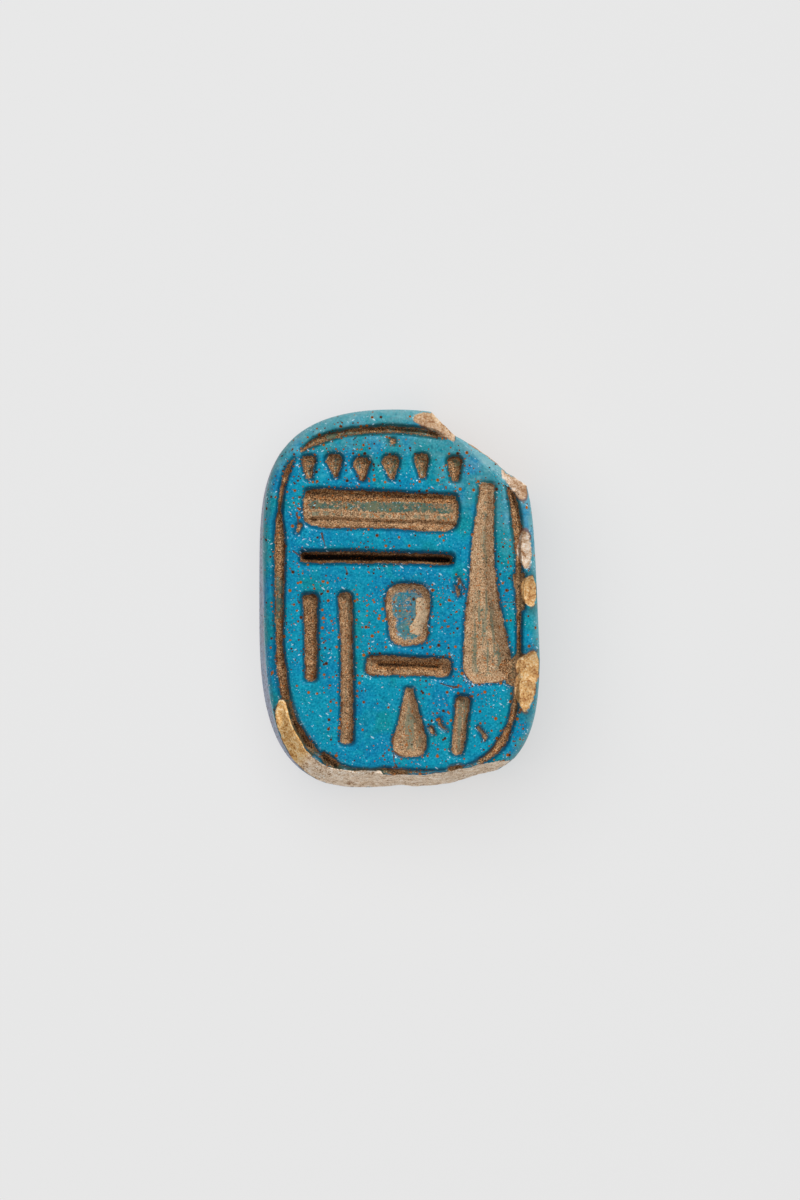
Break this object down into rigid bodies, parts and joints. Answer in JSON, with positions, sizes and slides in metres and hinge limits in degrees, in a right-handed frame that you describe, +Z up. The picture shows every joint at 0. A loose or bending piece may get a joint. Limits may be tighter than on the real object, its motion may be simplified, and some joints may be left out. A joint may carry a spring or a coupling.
{
  "type": "faience plaque",
  "caption": "Small moulded faience plaque, rounded oblong, with a glazed carved face inside an incised border, flat back and chipped, broken edges.",
  "frame": {"origin": "on the flat underside, under the middle of the plaque's bounding box", "axes": "+Z up out of the carved face, +Y towards the head of the face, along the plaque's length, +X to the face's right"},
  "size_m": [0.0142, 0.019, 0.0056],
  "materials": {
    "glazed_faience": "glossy turquoise glaze, worn through to a matte buff core at the breaks"
  },
  "bodies": {
    "root": {"plaque": "glazed_faience"}
  },
  "joints": []
}
